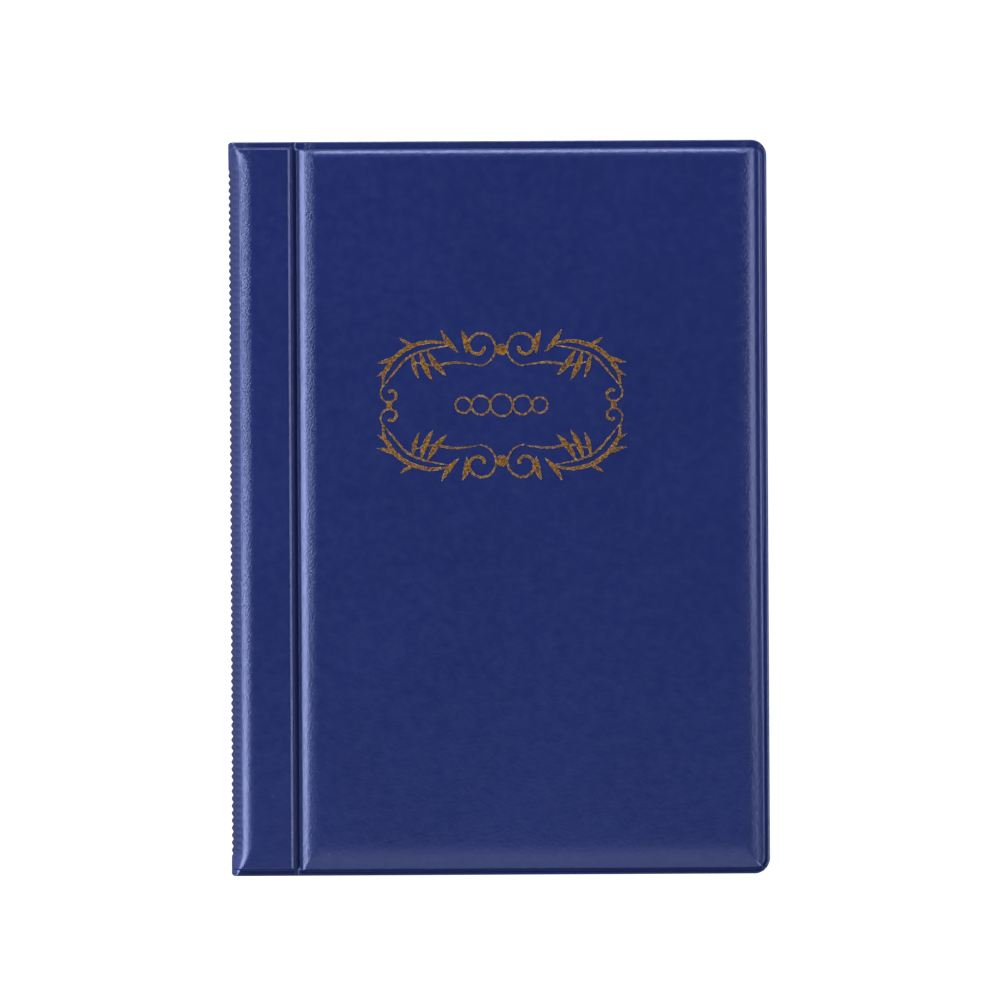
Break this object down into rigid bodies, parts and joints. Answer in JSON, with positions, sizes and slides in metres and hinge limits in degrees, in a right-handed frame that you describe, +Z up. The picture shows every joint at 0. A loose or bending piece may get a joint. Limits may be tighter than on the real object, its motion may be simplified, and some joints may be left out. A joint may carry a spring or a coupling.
{
  "type": "coin album",
  "caption": "Slim padded pocket album for coins: blue leather-look covers, lattice spine, gold scroll frame and clear pocket leaves that fan out.",
  "frame": {"origin": "bottom centre of the closed album, on the face that the back cover rests on", "axes": "+Z up out of the front cover, +Y towards the head of the album, the spine is on the -X side"},
  "size_m": [0.13, 0.177, 0.0151],
  "materials": {
    "cover_skin": "satin",
    "liner": "matte",
    "foam": "matte",
    "grey_board": "matte",
    "clear_film": "gloss",
    "foil": "satin"
  },
  "bodies": {
    "binding": {"spine_skin": "cover_skin", "spine_card": "grey_board", "front_strip_board": "grey_board", "front_strip_liner": "liner", "back_strip_board": "grey_board", "back_strip_liner": "liner", "leaf_01_binding_margin": "clear_film", "leaf_02_binding_margin": "clear_film", "leaf_03_binding_margin": "clear_film", "leaf_04_binding_margin": "clear_film", "leaf_05_binding_margin": "clear_film", "leaf_06_binding_margin": "clear_film", "leaf_07_binding_margin": "clear_film", "leaf_08_binding_margin": "clear_film", "leaf_09_binding_margin": "clear_film", "leaf_10_binding_margin": "clear_film"},
    "front_cover": {"front_cover_skin": "cover_skin", "front_cover_foam_pad": "foam", "front_cover_board": "grey_board", "front_cover_liner": "liner", "front_cover_foil_frame": "foil", "front_cover_foil_rings": "foil"},
    "back_cover": {"back_cover_skin": "cover_skin", "back_cover_foam_pad": "foam", "back_cover_board": "grey_board", "back_cover_liner": "liner"},
    "leaf_01": {"leaf_01_back_sheet": "clear_film", "leaf_01_pocket_sheet": "clear_film"},
    "leaf_02": {"leaf_02_back_sheet": "clear_film", "leaf_02_pocket_sheet": "clear_film"},
    "leaf_03": {"leaf_03_back_sheet": "clear_film", "leaf_03_pocket_sheet": "clear_film"},
    "leaf_04": {"leaf_04_back_sheet": "clear_film", "leaf_04_pocket_sheet": "clear_film"},
    "leaf_05": {"leaf_05_back_sheet": "clear_film", "leaf_05_pocket_sheet": "clear_film"},
    "leaf_06": {"leaf_06_back_sheet": "clear_film", "leaf_06_pocket_sheet": "clear_film"},
    "leaf_07": {"leaf_07_back_sheet": "clear_film", "leaf_07_pocket_sheet": "clear_film"},
    "leaf_08": {"leaf_08_back_sheet": "clear_film", "leaf_08_pocket_sheet": "clear_film"},
    "leaf_09": {"leaf_09_back_sheet": "clear_film", "leaf_09_pocket_sheet": "clear_film"},
    "leaf_10": {"leaf_10_back_sheet": "clear_film", "leaf_10_pocket_sheet": "clear_film"}
  },
  "joints": [
    {"name": "front_cover_hinge", "type": "hinge", "parent": "binding", "child": "front_cover", "pos_m": [-0.0491, 0, 0.01515], "axis": [0, -1, 0], "range_deg": [0, 178]},
    {"name": "back_cover_hinge", "type": "hinge", "parent": "binding", "child": "back_cover", "pos_m": [-0.0491, 0, -0.00015], "axis": [0, 1, 0], "range_deg": [0, 178]},
    {"name": "leaf_01_hinge", "type": "hinge", "parent": "binding", "child": "leaf_01", "pos_m": [-0.0491, 0, 0.01515], "axis": [0, -1, 0], "range_deg": [0, 16.3]},
    {"name": "leaf_02_hinge", "type": "hinge", "parent": "binding", "child": "leaf_02", "pos_m": [-0.0491, 0, 0.01515], "axis": [0, -1, 0], "range_deg": [0, 32.5]},
    {"name": "leaf_03_hinge", "type": "hinge", "parent": "binding", "child": "leaf_03", "pos_m": [-0.0491, 0, 0.01515], "axis": [0, -1, 0], "range_deg": [0, 48.6]},
    {"name": "leaf_04_hinge", "type": "hinge", "parent": "binding", "child": "leaf_04", "pos_m": [-0.0491, 0, 0.01515], "axis": [0, -1, 0], "range_deg": [0, 64.8]},
    {"name": "leaf_05_hinge", "type": "hinge", "parent": "binding", "child": "leaf_05", "pos_m": [-0.0491, 0, 0.01515], "axis": [0, -1, 0], "range_deg": [0, 81]},
    {"name": "leaf_06_hinge", "type": "hinge", "parent": "binding", "child": "leaf_06", "pos_m": [-0.0491, 0, 0.01515], "axis": [0, -1, 0], "range_deg": [0, 97.2]},
    {"name": "leaf_07_hinge", "type": "hinge", "parent": "binding", "child": "leaf_07", "pos_m": [-0.0491, 0, 0.01515], "axis": [0, -1, 0], "range_deg": [0, 113.4]},
    {"name": "leaf_08_hinge", "type": "hinge", "parent": "binding", "child": "leaf_08", "pos_m": [-0.0491, 0, 0.01515], "axis": [0, -1, 0], "range_deg": [0, 129.6]},
    {"name": "leaf_09_hinge", "type": "hinge", "parent": "binding", "child": "leaf_09", "pos_m": [-0.0491, 0, 0.01515], "axis": [0, -1, 0], "range_deg": [0, 145.7]},
    {"name": "leaf_10_hinge", "type": "hinge", "parent": "binding", "child": "leaf_10", "pos_m": [-0.0491, 0, 0.01515], "axis": [0, -1, 0], "range_deg": [0, 161.9]}
  ],
  "couplings": [
    {"joint": "leaf_01_hinge", "follows": "front_cover_hinge", "ratio": 0.090909},
    {"joint": "leaf_02_hinge", "follows": "front_cover_hinge", "ratio": 0.18182},
    {"joint": "leaf_03_hinge", "follows": "front_cover_hinge", "ratio": 0.27273},
    {"joint": "leaf_04_hinge", "follows": "front_cover_hinge", "ratio": 0.36364},
    {"joint": "leaf_05_hinge", "follows": "front_cover_hinge", "ratio": 0.45454},
    {"joint": "leaf_06_hinge", "follows": "front_cover_hinge", "ratio": 0.54546},
    {"joint": "leaf_07_hinge", "follows": "front_cover_hinge", "ratio": 0.63636},
    {"joint": "leaf_08_hinge", "follows": "front_cover_hinge", "ratio": 0.72727},
    {"joint": "leaf_09_hinge", "follows": "front_cover_hinge", "ratio": 0.81818},
    {"joint": "leaf_10_hinge", "follows": "front_cover_hinge", "ratio": 0.90909}
  ]
}
